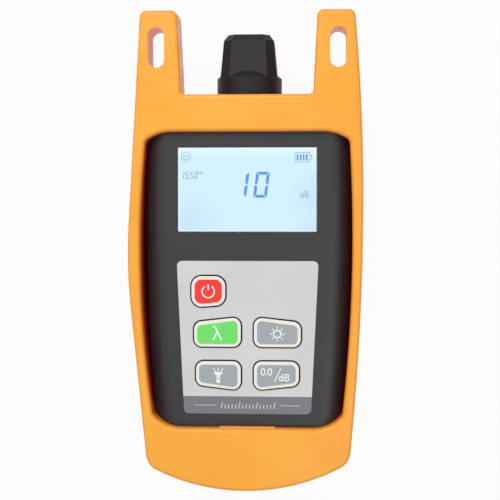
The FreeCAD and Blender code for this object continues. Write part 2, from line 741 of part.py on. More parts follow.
def make_batteries():
    axis = "case_back + case_wall + battery_round"
    low = "bay_low + contact_thick + contact_dimple"
    for name, step in (("left", "-1"), ("middle", "0"), ("right", "1")):
        profile = [
            ("0", low), ("battery_round - battery_edge", low),
            ("battery_round", f"{low} + battery_edge"),
            ("battery_round", f"{low} + battery_can - battery_edge"),
            ("battery_round - battery_edge", f"{low} + battery_can"),
            ("battery_tip_round", f"{low} + battery_can"),
            ("battery_tip_round", f"{low} + battery_can + battery_tip"),
            ("0", f"{low} + battery_can + battery_tip"),
        ]
        cell = turned(f"battery_cell_{name}", profile, axis)
        bind(cell, Placement__Base__x=f"battery_pitch * {step}")
        node(f"battery_cell_{name}", cell)
    for name, wall, inward in (("low", "bay_low", "1"), ("high", "bay_high", "-1")):
        plates = []
        for step in ("-1", "0", "1"):
            across = f"battery_pitch * {step}"
            face = f"{wall} + contact_thick * {inward}"
            near, far = (wall, face) if inward == "1" else (face, wall)
            plate = box(f"contact_{name}_plate", f"{across} - contact_half",
                        f"{across} + contact_half", near, far, f"{axis} - contact_half",
                        f"{axis} + contact_half")
            tip = f"{face} + contact_dimple * {inward}"
            near, far = (wall, tip) if inward == "1" else (tip, wall)
            dimple = bar(f"contact_{name}_dimple", across, axis, near, far, "dimple_round")
            plates.append(fuse(f"contact_{name}", [plate, dimple]))
        node(f"contacts_{name}", group(f"contact_{name}_group", plates))


# ---------------------------------------------------------------------------
# Fibre port, dust cap and torch, each about an axis along Y
# ---------------------------------------------------------------------------
def make_port():
    wall_low = "case_top - case_wall"
    node("detector_barrel", turned("detector_barrel", [
        ("barrel_bore", "barrel_low"), ("barrel_round", "barrel_low"),
        ("barrel_round", f"{wall_low} - flange_thick"),
        ("barrel_flange", f"{wall_low} - flange_thick"), ("barrel_flange", wall_low),
        ("barrel_round", wall_low), ("barrel_round", "barrel_high"),
        ("barrel_mouth", "barrel_high"), ("barrel_mouth", "barrel_step"),
        ("barrel_bore", "barrel_step"),
    ], "port_height"))
    can = turned("photodiode_can", [
        ("0", "barrel_step - detector_brim"), ("detector_flange", "barrel_step - detector_brim"),
        ("detector_flange", "barrel_step"), ("detector_round", "barrel_step"),
        ("detector_round", "detector_high"), ("0", "detector_high"),
    ], "port_height")
    leads = []
    for number, turn in enumerate((90, 210, 330), start=1):
        across = f"lead_ring * {round(math.cos(math.radians(turn)), 4)}"
        height = f"port_height + lead_ring * {round(math.sin(math.radians(turn)), 4)}"
        leads.append(bar(f"photodiode_lead_{number}", across, height, "lead_low",
                         "barrel_step", "lead_round"))
    node("photodiode", fuse("photodiode_fused", [can] + leads))
    node("panel_nut", turned("panel_nut_ring", [
        ("barrel_round", "case_top"), ("panel_nut", "case_top"),
        ("panel_nut", "case_top + panel_nut_thick"),
        ("barrel_round", "case_top + panel_nut_thick"),
    ], "port_height"))
    node("fibre_adapter", turned("fibre_adapter", [
        ("ferrule_bore", "adapter_low"), ("adapter_spigot", "adapter_low"),
        ("adapter_spigot", "barrel_high"), ("adapter_flange", "barrel_high"),
        ("adapter_flange", "adapter_step"), ("adapter_neck", "adapter_step"),
        ("adapter_neck", "adapter_tip - adapter_edge"),
        ("adapter_neck - adapter_edge", "adapter_tip"), ("ferrule_bore", "adapter_tip"),
    ], "port_height"))
    ring = turned("adapter_nut_ring", [
        ("nut_bore", "nut_low"), ("nut_round", "nut_low"), ("nut_round", "nut_high"),
        ("nut_mouth", "nut_high"), ("nut_mouth", "nut_web"), ("nut_bore", "nut_web"),
    ], "port_height")
    ribs = []
    count = round(value("nut_ribs"))
    for number in range(count):
        turn = 2 * math.pi * number / count
        across = f"(nut_round - rib_sunk) * {round(math.cos(turn), 5)}"
        height = f"port_height + (nut_round - rib_sunk) * {round(math.sin(turn), 5)}"
        ribs.append(bar(f"nut_rib_{number}", across, height, "nut_low + rib_end",
                        "nut_high - rib_end", "nut_rib"))
    node("adapter_nut", fuse("adapter_nut_fused", [ring] + ribs))


def cap_section(body, name, along, half):
    """The cap's eight-sided section: flats all round, with narrower ones at its corners."""
    sketch = new_sketch(body, name, plane="XZ", offset=f"-({along})")
    thin = f"({half}) * cap_thin"
    front = f"({half}) * cap_front_flat"
    side = f"({half}) * cap_side_flat"
    quarter = [(half, side), (front, thin)]
    corners = quarter + [(f"-({across})", up) for across, up in reversed(quarter)]
    corners += [(f"-({across})", f"-({up})") for across, up in quarter]
    corners += [(across, f"-({up})") for across, up in reversed(quarter)]
    return add_outline(sketch, [(across, f"port_height + {up}") for across, up in corners])


def make_dust_cap():
    body = turned("dust_cap", [
        ("0", "cap_low"), ("cap_collar - cap_edge", "cap_low"),
        ("cap_collar", "cap_low + cap_edge"),
        ("cap_collar", "cap_shoulder"),
        ("cap_core", "cap_shoulder + (cap_collar - cap_core) / cap_slope"),
        ("0", "cap_shoulder + (cap_collar - cap_core) / cap_slope"),
    ], "port_height")
    sections = [("cap_foot", "cap_shoulder", "cap_wide"),
                ("cap_waist", "cap_chamfer", "cap_narrow"), ("cap_face", "cap_end", "cap_flat")]
    sketches = [cap_section(body, *section) for section in sections]
    doc.recompute()
    loft = body.newObject("PartDesign::AdditiveLoft", "cap_taper")
    loft.Profile = sketches[0]
    loft.Sections = sketches[1:]
    loft.Ruled = True
    doc.recompute()
    bore = add_outline(new_sketch(body, "cap_bore_profile", offset="port_height"), [
        ("0", "cap_low - past"), ("cap_bore", "cap_low - past"), ("cap_bore", "cap_bore_end"),
        ("cap_well", "cap_bore_end"), ("cap_well", "cap_well_end"), ("0", "cap_well_end"),
    ])
    groove = body.newObject("PartDesign::Groove", "cap_bore_cut")
    groove.Profile = bore
    groove.ReferenceAxis = (bore, ["V_Axis"])
    groove.Angle = 360
    doc.recompute()
    node("dust_cap", body)


def make_torch():
    lamp = turned("torch_led", [
        ("0", "torch_low"), ("torch_brim", "torch_low"),
        ("torch_brim", "torch_low + torch_brim_thick"),
        ("torch_round", "torch_low + torch_brim_thick"),
        ("torch_round", "torch_tip - torch_round / 2"), ("torch_round / 2", "torch_tip"),
        ("0", "torch_tip"),
    ], "port_height")
    bind(lamp, Placement__Base__x="torch_across")
    node("torch_led", lamp)


# ---------------------------------------------------------------------------
# Build, check and write
# ---------------------------------------------------------------------------
make_boot()
make_front_case()
make_rear_case()
make_battery_cover()
make_case_screws()
make_display()
make_keypad()
make_board()
make_batteries()
make_port()
make_dust_cap()
make_torch()
doc.recompute()

failed = [item.Label for item in doc.Objects if {"Invalid", "Error"} & set(item.State)]
failed += [name for name, piece in NODES.items() if piece.Shape.isNull()]
failed += [name for name, piece in NODES.items() if not piece.Shape.isNull()
           and not (piece.Shape.isValid() and piece.Shape.Solids)]
if failed:
    raise RuntimeError("these failed: " + ", ".join(failed))
for name, piece in NODES.items():
    piece.Shape.exportStep(f"parts/{name}.step")
    print(f"{name}: {len(piece.Shape.Solids)} solid(s), {piece.Shape.Volume:.0f} mm3")
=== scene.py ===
# %% [markdown]
# # An optical power meter in its rubber boot
#
# The meter is a black handheld instrument with a lit display and five rubber keys.  It lies on
# its back in a soft orange boot whose two ears take a strap, and a push-on cap covers its fibre
# port.  The CAD frame brings every solid piece in its place.  This lesson gives each piece the
# finish of its real material, with painted shade in the boot's gap and on its upright walls and
# in the gaps round the keys.  It adds the printed and lit marks that are too fine for solids,
# and a black ring of painted shade round each key.

# %% Load the frame
import bpy
import numpy as np
from mathutils import Matrix, Vector


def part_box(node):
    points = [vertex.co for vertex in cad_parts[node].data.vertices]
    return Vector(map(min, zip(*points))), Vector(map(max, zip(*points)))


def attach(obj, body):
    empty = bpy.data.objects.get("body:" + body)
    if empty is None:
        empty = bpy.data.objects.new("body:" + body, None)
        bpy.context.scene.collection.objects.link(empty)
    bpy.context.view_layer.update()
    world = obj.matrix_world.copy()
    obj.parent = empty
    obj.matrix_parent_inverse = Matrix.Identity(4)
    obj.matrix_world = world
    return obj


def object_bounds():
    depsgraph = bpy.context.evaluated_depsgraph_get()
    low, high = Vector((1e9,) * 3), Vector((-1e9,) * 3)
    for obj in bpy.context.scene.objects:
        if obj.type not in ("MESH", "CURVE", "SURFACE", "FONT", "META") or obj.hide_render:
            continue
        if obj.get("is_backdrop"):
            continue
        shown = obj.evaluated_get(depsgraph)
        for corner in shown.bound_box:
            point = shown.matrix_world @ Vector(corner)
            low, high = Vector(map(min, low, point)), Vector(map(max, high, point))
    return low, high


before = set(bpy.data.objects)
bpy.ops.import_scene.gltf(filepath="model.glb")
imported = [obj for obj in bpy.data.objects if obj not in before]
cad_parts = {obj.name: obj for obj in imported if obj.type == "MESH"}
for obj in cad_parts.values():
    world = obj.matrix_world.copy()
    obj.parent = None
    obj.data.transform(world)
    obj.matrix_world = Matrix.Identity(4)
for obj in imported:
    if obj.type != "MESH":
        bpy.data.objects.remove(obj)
cad_low, cad_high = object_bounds()
MM = 0.001
print("size in mm:", [round((b - a) / MM, 1) for a, b in zip(cad_low, cad_high)])

# %% [markdown]
# ## Colours and shader nodes
#
# Colours are written as they look on a screen, in sRGB hex, and Blender's shaders want linear
# light, so one function turns the first into the second.  Shader trees are built with one small
# helper that adds a node, sets its sockets and joins it to the nodes before it.

# %% Colour and node helpers
def linear(code, alpha=1.0):
    """sRGB hex to linear RGBA: ((c + 0.055) / 1.055) ^ 2.4 above 0.04045, else c / 12.92."""
    parts = np.array([int(code[i:i + 2], 16) for i in (1, 3, 5)]) / 255
    light = np.where(parts > 0.04045, ((parts + 0.055) / 1.055) ** 2.4, parts / 12.92)
    return (*light.tolist(), alpha)


def add_node(tree, kind, links=None, **settings):
    """Add a shader node; links maps an input to a value or a (node, output) pair."""
    node = tree.nodes.new(kind)
    for name, setting in settings.items():
        setattr(node, name, setting)
    for socket, source in (links or {}).items():
        if isinstance(source, tuple) and isinstance(source[0], bpy.types.Node):
            tree.links.new(source[0].outputs[source[1]], node.inputs[socket])
        else:
            node.inputs[socket].default_value = source
    return node


def new_material(name, **surface):
    """A Principled material; surface sets the shader's own sockets, spaces as underscores."""
    material = bpy.data.materials.new(name)
    material.use_nodes = True
    tree = material.node_tree
    shader = tree.nodes["Principled BSDF"]
    for socket, setting in surface.items():
        shader.inputs[socket.replace("_", " ")].default_value = setting
    place = add_node(tree, "ShaderNodeTexCoord")
    return material, tree, shader, place


# A Mix node in colour mode keeps its two colours in these sockets and its result in this one.
COLOUR_A, COLOUR_B, COLOUR_OUT = 6, 7, 2


def mix_colours(tree, factor, first, second):
    """first where factor is 0 and second where it is 1; each is a colour or another node."""
    return add_node(tree, "ShaderNodeMix", {
        0: factor, COLOUR_A: first, COLOUR_B: second}, data_type="RGBA")


def step_above(tree, source, edge_mm, blur_mm):
    """0 below edge_mm and 1 above it, over a band of blur_mm; source is a coordinate."""
    return add_node(tree, "ShaderNodeMapRange", {
        "Value": source, "From Min": (edge_mm - blur_mm / 2) * MM,
        "From Max": (edge_mm + blur_mm / 2) * MM})


def add_grain(tree, shader, place, grain_mm, depth_mm):
    """A noise bump whose features are grain_mm across and depth_mm high."""
    noise = add_node(tree, "ShaderNodeTexNoise", {
        "Vector": (place, "Object"), "Scale": 1 / (grain_mm * MM), "Detail": 3.0})
    bump = add_node(tree, "ShaderNodeBump", {
        "Height": (noise, "Fac"), "Distance": depth_mm * MM})
    tree.links.new(bump.outputs["Normal"], shader.inputs["Normal"])


def cloud(tree, place, size_mm, low=0.35, high=0.65):
    """A soft blotch pattern of size_mm, stretched so that it runs from 0 to 1."""
    noise = add_node(tree, "ShaderNodeTexNoise", {
        "Vector": (place, "Object"), "Scale": 1 / (size_mm * MM), "Detail": 2.0})
    return add_node(tree, "ShaderNodeMapRange", {
        "Value": (noise, "Fac"), "From Min": low, "From Max": high})


def specks(tree, place, cell_mm, radius_mm):
    """1 in small round specks and 0 between: one speck in each cell_mm of space."""
    cells = add_node(tree, "ShaderNodeTexVoronoi", {
        "Vector": (place, "Object"), "Scale": 1 / (cell_mm * MM)})
    reach = radius_mm / cell_mm
    return add_node(tree, "ShaderNodeMapRange", {
        "Value": (cells, "Distance"), "From Min": reach, "From Max": reach / 2})


print("orange in linear light:", [round(c, 3) for c in linear("#FFB13E")])

# %% [markdown]
# ## The boot: moulded silicone rubber
#
# A boot like this is pressed from silicone rubber in a blasted steel mould.  The eye sees a satin
# skin with a fine grain, a weak wide highlight, and warm light that has sunk a little way in and
# come out again, most of all along thin edges.  Subsurface light gives the warmth, and two noise
# patterns give the grain and the faint clouds of colour that pigment leaves.  In the narrow gap
# beside the case the orange is painted red-brown wherever an ambient occlusion node finds a place
# closed off from the light: this is painted shade.  The walls that stand upright are painted a
# little deeper in colour than the flat face, as painted shade for the light that falls from
# above.

# %% Boot rubber
# The bounds of the painted red-brown shade in the gap beside the case, in mm.
GAP_FLOOR, GAP_END = 9.0, 61.0   # the gap lies above the first height and within the second


def silicone_boot():
    """Pressed silicone rubber: satin and warm, with clouds of pigment and a 0.35 mm grain.

    The gap beside the case is painted red-brown and the upright walls deeper orange: painted
    shade.
    """
    material, tree, shader, place = new_material(
        "pressed_silicone", Roughness=0.5, IOR=1.41, Subsurface_Weight=0.25,
        Subsurface_Radius=(1.0, 0.3, 0.05), Subsurface_Scale=3.0 * MM)
    tint = mix_colours(tree, (cloud(tree, place, 30), 0), linear("#FFAA36"), linear("#FFB13E"))
    # Painted shade: upright walls are painted deeper orange than the flat face, for the light
    # that falls from above.
    parts = add_node(tree, "ShaderNodeSeparateXYZ", {
        0: (add_node(tree, "ShaderNodeNewGeometry"), "Normal")})
    facing = add_node(tree, "ShaderNodeMath", {0: (parts, "Z")}, operation="ABSOLUTE")
    flat = add_node(tree, "ShaderNodeMapRange", {"Value": (facing, 0), "To Min": 0.2})
    tint = mix_colours(tree, (flat, 0), linear("#FB8A24"), (tint, COLOUR_OUT))
    # Painted shade: where ambient occlusion finds the rubber closed in beside the case, the
    # orange is painted red-brown.
    openness = add_node(tree, "ShaderNodeAmbientOcclusion", {"Distance": 5.0 * MM}, samples=8)
    open_air = add_node(tree, "ShaderNodeMapRange", {
        "Value": (openness, "AO"), "From Min": 0.5, "From Max": 0.9})
    gap_shade = mix_colours(tree, (open_air, 0), linear("#D8280A"), (tint, COLOUR_OUT))
    spot = add_node(tree, "ShaderNodeSeparateXYZ", {0: (place, "Object")})
    off_floor = step_above(tree, (spot, "Z"), GAP_FLOOR, 4.0)
    along = add_node(tree, "ShaderNodeMath", {0: (spot, "Y")}, operation="ABSOLUTE")
    past_case = step_above(tree, (along, 0), GAP_END, 8.0)
    in_gap = add_node(tree, "ShaderNodeMath", {
        0: (off_floor, 0), 1: (past_case, 0)}, operation="SUBTRACT", use_clamp=True)
    tint = mix_colours(tree, (in_gap, 0), (tint, COLOUR_OUT), (gap_shade, COLOUR_OUT))
    tree.links.new(tint.outputs[COLOUR_OUT], shader.inputs["Base Color"])
    gloss = add_node(tree, "ShaderNodeMapRange", {
        "Value": (cloud(tree, place, 12), 0), "To Min": 0.28, "To Max": 0.38})
    tree.links.new(gloss.outputs[0], shader.inputs["Roughness"])
    add_grain(tree, shader, place, 0.35, 0.004)
    return material


# %% [markdown]
# ## Case and cap: black plastic that shows its dust
#
# The case halves and the battery cover are ABS, injection moulded in a spark-eroded tool, which
# leaves an even matt grain.  The cap is soft PVC with a shinier skin.  Black plastic shows every
# fleck of dust, so both get a few pale specks, about 0.3 mm wide so that they are just visible.

# %% Case and cap plastic
def dusty_plastic(name, code, gleam, roughness, grain_mm, depth_mm, speck_cell_mm, speck_code):
    """Dark moulded plastic: an even grain, cloudy gloss and scattered specks of dust."""
    material, tree, shader, place = new_material(name, IOR=1.5, Specular_IOR_Level=gleam)
    dust = specks(tree, place, speck_cell_mm, 0.2)
    tint = mix_colours(tree, (dust, 0), linear(code), linear(speck_code))
    tree.links.new(tint.outputs[COLOUR_OUT], shader.inputs["Base Color"])
    gloss = add_node(tree, "ShaderNodeMapRange", {
        "Value": (cloud(tree, place, 8), 0), "To Min": roughness - 0.04,
        "To Max": roughness + 0.04})
    tree.links.new(gloss.outputs[0], shader.inputs["Roughness"])
    add_grain(tree, shader, place, grain_mm, depth_mm)
    return material


# %% [markdown]
# ## Keypad: printed film and silicone keys
#
# The label is polycarbonate film printed on its back in silver grey, with a darker strip at the
# foot, and its cut edges are painted near black as the shade in the gaps round the keys.  The
# keys are milky silicone whose flank is painted near black, the same painted shade, and each
# crown is printed in the key's own colour, so the border of the key stays cream.  One material
# does each
# job: it mixes colours by the height or by the place along the face, at the edge where the print
# or the painted shade ends.

# %% Film and key rubber
label_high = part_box("keypad_label")[1]
STRIP_TOP = -55.3
KEY_RIM_TOP = 33.9
KEY_FLANK_TOP = 33.3


def printed_film():
    """Printed polycarbonate film: silver grey, darker below the strip's edge, with its cut edge
    painted near black as the shade in the gaps round the keys.
    """
    material, tree, shader, place = new_material(
        "printed_polycarbonate", Roughness=0.42, IOR=1.58)
    parts = add_node(tree, "ShaderNodeSeparateXYZ", {0: (place, "Object")})
    above = step_above(tree, (parts, "Y"), STRIP_TOP, 0.05)
    silver = mix_colours(tree, (cloud(tree, place, 22), 0), linear("#CDCDCE"), linear("#D3D3D2"))
    print_and_edge_shade = mix_colours(tree, (above, 0), linear("#6E7078"), (silver, COLOUR_OUT))
    # Painted shade: below its top face the film's cut edge is painted near black, for the shade
    # in the gap round each key.
    top = step_above(tree, (parts, "Z"), label_high[2] / MM - 0.05, 0.04)
    print_and_edge_shade = mix_colours(tree, (top, 0), linear("#101012"), (print_and_edge_shade, COLOUR_OUT))
    tree.links.new(print_and_edge_shade.outputs[COLOUR_OUT], shader.inputs["Base Color"])
    add_grain(tree, shader, place, 0.25, 0.002)
    return material


def printed_key(name, code):
    """Moulded silicone: a flank painted near black as the shade of the gap round the key, a milky
    rim, and a crown printed in one colour.
    """
    material, tree, shader, place = new_material(
        name, Roughness=0.5, IOR=1.41, Subsurface_Weight=0.1,
        Subsurface_Radius=(1.0, 0.8, 0.6), Subsurface_Scale=0.8 * MM)
    parts = add_node(tree, "ShaderNodeSeparateXYZ", {0: (place, "Object")})
    # Painted shade: below the flank's top the key is painted near black, for the shade in the gap
    # round it.
    rim = step_above(tree, (parts, "Z"), KEY_FLANK_TOP, 0.3)
    cream_over_shade = mix_colours(tree, (rim, 0), linear("#181614"), linear("#EFEDE5"))
    crown = step_above(tree, (parts, "Z"), KEY_RIM_TOP + 0.06, 0.04)
    tint = mix_colours(tree, (crown, 0), (cream_over_shade, COLOUR_OUT), linear(code))
    tree.links.new(tint.outputs[COLOUR_OUT], shader.inputs["Base Color"])
    add_grain(tree, shader, place, 0.3, 0.003)
    return material


# %% [markdown]
# ## Display: a lit panel behind a clear window
#
# The display is a negative of what it seems: a pale blue light panel shines through the liquid
# crystal, and the segments block it.  Light leaks in from the panel's edges, so the rim is almost
# white, and a few patches are bluer.  Outside the viewing area a black mask is printed on the
# glass.  The glass is an emitter with that pattern, and the window in front of it is clear
# acrylic that only adds its reflections.

# %% Lit glass and window
glass_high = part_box("lcd_glass")[1]
LIT_LEFT, LIT_RIGHT, LIT_FOOT, LIT_HEAD = -26.1, 25.75, 6.7, 38.15


def patch(tree, place, centre, reach_mm):
    """1 at a centre in mm and 0 beyond reach_mm: one minus the distance over the reach."""
    scaled = add_node(tree, "ShaderNodeMapping", {
        "Vector": (place, "Object"), "Location": (-Vector(centre) / reach_mm),
        "Scale": (1 / (reach_mm * MM),) * 3})
    return add_node(tree, "ShaderNodeTexGradient", {0: (scaled, 0)},
                    gradient_type="QUADRATIC_SPHERE")


def lit_glass():
    """Liquid crystal glass lit from behind: pale blue, whiter at its rim, bluer in patches."""
    material, tree, shader, place = new_material(
        "lit_crystal_glass", Base_Color=linear("#101418"), Roughness=0.2, IOR=1.5,
        Emission_Strength=0.97)
    parts = add_node(tree, "ShaderNodeSeparateXYZ", {0: (place, "Object")})
    colour = linear("#CDEFFE")
    for centre, reach in (((-22, 10, 30), 18), ((24, 20, 30), 15), ((24, 8, 30), 10)):
        spot = patch(tree, place, centre, reach)
        colour = (mix_colours(tree, (spot, 1), colour, linear("#BDE2FA")), COLOUR_OUT)
    for axis, edge, blur in (
            ("Y", 36.8, 6.0), ("Y", 6.8, -1.6), ("X", 25.9, 0.8), ("X", -25.9, -0.8)):
        rim = step_above(tree, (parts, axis), edge, blur)
        colour = (mix_colours(tree, (rim, 0), colour, linear("#E8FEFF")), COLOUR_OUT)
    for axis, edge, blur in (
            ("X", LIT_LEFT, -0.1), ("X", LIT_RIGHT, 0.1),
            ("Y", LIT_FOOT, -0.1), ("Y", LIT_HEAD, 0.1)):
        mask = step_above(tree, (parts, axis), edge, blur)
        colour = (mix_colours(tree, (mask, 0), colour, linear("#000000")), COLOUR_OUT)
    tree.links.new(colour[0].outputs[COLOUR_OUT], shader.inputs["Emission Color"])
    return material


def clear_acrylic():
    """Cast acrylic: clear, smooth and faintly reflecting."""
    return new_material(
        "clear_acrylic", Base_Color=linear("#FFFFFF"), Roughness=0.02, IOR=1.49,
        Transmission_Weight=1.0)[0]


# %% [markdown]
# ## Everything else: metals, board and cells
#
# Plated metal parts are bright and slightly uneven, because nickel and zinc copy the machined
# surface under them.  The inner parts get their usual colours too: a green board, black epoxy
# chips, and cells in a printed sleeve.

# %% Plain plastics and metals
def moulded(name, code, roughness, grain_mm, depth_mm, **more):
    """A plain moulded or cured surface, with faint clouds of gloss and a grain."""
    material, tree, shader, place = new_material(name, Base_Color=linear(code), **more)
    gloss = add_node(tree, "ShaderNodeMapRange", {
        "Value": (cloud(tree, place, 4), 0), "To Min": roughness - 0.05,
        "To Max": roughness + 0.05})
    tree.links.new(gloss.outputs[0], shader.inputs["Roughness"])
    add_grain(tree, shader, place, grain_mm, depth_mm)
    return material


FINISHES = {
    silicone_boot(): ["protective_boot"],
    dusty_plastic("spark_grained_abs", "#28272A", 0.4, 0.44, 0.3, 0.008, 5.0, "#8E8E8C"): [
        "front_case", "rear_case", "battery_cover"],
    dusty_plastic("soft_pvc", "#1E1B1F", 0.22, 0.45, 0.5, 0.01, 1.8, "#6C6864"): ["dust_cap"],
    printed_film(): ["keypad_label"],
    printed_key("silicone_printed_red", "#F5382F"): ["key_power"],
    printed_key("silicone_printed_green", "#6EE069"): ["key_wavelength"],
    printed_key("silicone_printed_grey", "#A1AAAF"): [
        "key_backlight", "key_torch", "key_reference"],
    lit_glass(): ["lcd_glass"],
    clear_acrylic(): ["lcd_window"],
    moulded("dark_silicone", "#101012", 0.6, 0.3, 0.004): ["keypad_mat", "lcd_frame"],
    moulded("milky_acrylic", "#E6E6E2", 0.35, 0.4, 0.002): ["backlight_panel"],
    moulded("solder_mask", "#1F6B3A", 0.35, 0.5, 0.01): ["main_board"],
    moulded("moulded_epoxy", "#202124", 0.5, 0.2, 0.004): ["microcontroller"],
    moulded("clear_epoxy", "#E9EDF0", 0.15, 1.0, 0.002, Transmission_Weight=0.5): ["torch_led"],
    moulded("shrink_sleeve", "#3C4C5C", 0.3, 1.0, 0.004): [
        "battery_cell_left", "battery_cell_middle", "battery_cell_right"],
    moulded("nickel_plate", "#C9C6BE", 0.28, 0.8, 0.002, Metallic=1.0): [
        "detector_barrel", "photodiode", "panel_nut", "fibre_adapter", "adapter_nut"],
    moulded("zinc_plate", "#A9ACB1", 0.4, 0.6, 0.003, Metallic=1.0): [
        "case_screws", "board_screws", "dome_switches", "shield_can", "contacts_low",
        "contacts_high"],
}
for material, nodes in FINISHES.items():
    for name in nodes:
        part = bpy.data.objects[name]
        part.data.materials.clear()
        part.data.materials.append(material)
print("finished", sum(len(nodes) for nodes in FINISHES.values()), "nodes")

# %% [markdown]
# ## Marks: thin shapes from lines
#
# Print on the keys and segments in the display are a few hundredths of a millimetre thick.  They
# could be a picture on the surface, but real thin shapes stay sharp at any distance.  Two forms
# are enough: a bar with a rectangular section carried along a flat path, and a plate cut to an
# outline.

# %% Bars, plates and pieces
STEP = 0.002     # in mm


def bar(path, width, low, high, closed=False):
    """A flat bar of some width between two heights, carried along a path.

    At each point the section lies across the mean of the two directions that meet there, and is
    widened by 1 / cos(half the turn), so that the bar keeps its width round a corner.
    """
    path = np.asarray(path, float)
    ahead = np.roll(path, -1, 0) - path
    ahead /= np.linalg.norm(ahead, axis=1, keepdims=True)
    if not closed:
        ahead[-1] = ahead[-2]
    behind = np.roll(ahead, 1, 0)
    if not closed:
        behind[0] = ahead[0]
    mean = ahead + behind
    mean /= np.linalg.norm(mean, axis=1, keepdims=True)
    half = width / 2 / np.sum(mean * ahead, axis=1, keepdims=True)
    left = np.stack([-mean[:, 1], mean[:, 0]], 1) * half
    count = len(path)
    points = np.empty((count, 4, 3))
    points[:, (0, 3), :2] = (path - left)[:, None]
    points[:, (1, 2), :2] = (path + left)[:, None]
    points[:, (0, 1), 2] = low
    points[:, (2, 3), 2] = high
    ring = np.arange(count * 4).reshape(count, 4)
    here, there = ring, np.roll(ring, -1, 0)
    if not closed:
        here, there = here[:-1], there[:-1]
    walls = np.stack([here, np.roll(here, -1, 1), np.roll(there, -1, 1), there], -1)
    faces = walls.reshape(-1, 4).tolist()
    if not closed:
        faces += [ring[0, ::-1].tolist(), ring[-1].tolist()]
    return points.reshape(-1, 3), faces


def plate(outline, low, high):
    """A flat plate between two heights: the outline, drawn anticlockwise, at both of them."""
    outline = np.asarray(outline, float)
    count = len(outline)
    points = np.empty((2, count, 3))
    points[:, :, :2] = outline
    points[0, :, 2] = low
    points[1, :, 2] = high
    rim = np.arange(count)
    walls = np.stack([rim, np.roll(rim, -1), np.roll(rim, -1) + count, rim + count], 1)
    faces = walls.tolist() + [rim[::-1].tolist(), (rim + count).tolist()]
    return points.reshape(-1, 3), faces


def arc(centre, radius, start, end, count=24):
    """Points on a circle or, with two radii, on an ellipse, from one angle to another."""
    angle = np.radians(np.linspace(start, end, count))
    return np.array(centre) + np.stack([np.cos(angle), np.sin(angle)], 1) * radius


def ring(centre, radius, count=40):
    """The points of a whole circle or ellipse, with the last not repeating the first."""
    return arc(centre, radius, 0, 360, count + 1)[:-1]


def piece(name, shapes, material, body):
    """Join some closed shapes, in mm, into one mesh object that rides on a body.

    Strokes cross each other, so each one's top is STEP higher than the last one's, eight in turn.
    """
    points, faces, start = [], [], 0
    for number, (shape_points, shape_faces) in enumerate(shapes):
        height = shape_points[:, 2]
        height += (height > height.mean()) * (number % 8) * STEP
        points.append(shape_points)
        faces += [[index + start for index in face] for face in shape_faces]
        start += len(shape_points)
    mesh = bpy.data.meshes.new(name)
    mesh.from_pydata((np.concatenate(points) * MM).tolist(), [], faces)
    mesh.materials.append(material)
    made = bpy.data.objects.new(name, mesh)
    bpy.context.scene.collection.objects.link(made)
    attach(made, body)
    print(name, len(faces), "faces")
    return made


# %% [markdown]
# ## Signs on the keys
#
# The signs are white ink, screen printed on the crown of each key, and each moves with its key.
# They are the usual ones of such an instrument: stand-by, wavelength, backlight and torch.  The
# last key sets the zero for relative readings, so it says 0.0 and dB, with a slash between.

# %% Letters as strokes
def in_place(path, left, base, height, lean=0.0):
    """Put a path drawn one unit high at a place in mm, leaning it by a tangent."""
    path = np.asarray(path, float)
    return np.stack([left + (path[:, 0] + path[:, 1] * lean) * height,
                     base + path[:, 1] * height], 1)


B_BOWL_TOP = [(0, 0.97), *arc((0.3, 0.75), 0.22, 90, -90, 9).tolist(), (0, 0.53)]
B_BOWL_LOW = [(0, 0.53), *arc((0.33, 0.28), 0.25, 90, -90, 9).tolist(), (0, 0.03)]
N_ARCH = [(0, 0), (0, 0.5), *arc((0.2, 0.48), 0.2, 150, 0, 7).tolist(), (0.4, 0)]
# each letter: (width, closed paths, open paths), one unit high
LETTERS = {
    "0": (0.72, [ring((0.28, 0.5), (0.27, 0.47), 20)], []),
    ".": (0.26, [], [[(0.0, 0.08), (0.16, 0.08)]]),
    "d": (0.84, [ring((0.26, 0.32), (0.24, 0.3), 16)], [[(0.52, 0), (0.52, 1)]]),
    "B": (0.8, [], [[(0, 0), (0, 1)], B_BOWL_TOP, B_BOWL_LOW]),
    "n": (0.6, [], [N_ARCH]),
    "m": (0.9, [], [N_ARCH, [(x + 0.4, y) for x, y in N_ARCH[2:]]]),
}


def legend(text, left, base, height, width, low, high, lean=0.0):
    """Bars that write a text, with its lower left corner at a place in mm."""
    shapes = []
    for letter in text:
        advance, loops, lines = LETTERS[letter]
        for path in loops:
            shapes.append(bar(in_place(path, left, base, height, lean), width, low, high, True))
        for path in lines:
            shapes.append(bar(in_place(path, left, base, height, lean), width, low, high))
        left += advance * height
    return shapes


# %% White ink
def screen_ink(name, code):
    """Screen printed ink: matt, with a fine unevenness from the mesh it was pushed through."""
    return moulded(name, code, 0.55, 0.2, 0.002)


white_ink = screen_ink("white_screen_ink", "#F4F4F2")
INK = 0.04       # thickness of the printed and lit marks
SUNK = 0.02      # how far a mark reaches into what carries it


def on_top(node):
    """The middle of a node in plan, and the heights between which a mark lies on it, in mm."""
    low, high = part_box(node)
    middle = [(a + b) / 2 / MM for a, b in zip(low, high)][:2]
    return *middle, high[2] / MM - SUNK, high[2] / MM + INK


# %% Painted shade round the keys
SHADE_RING_SEARCH, SHADE_RING_WIDTH = 0.5, 0.16   # in mm


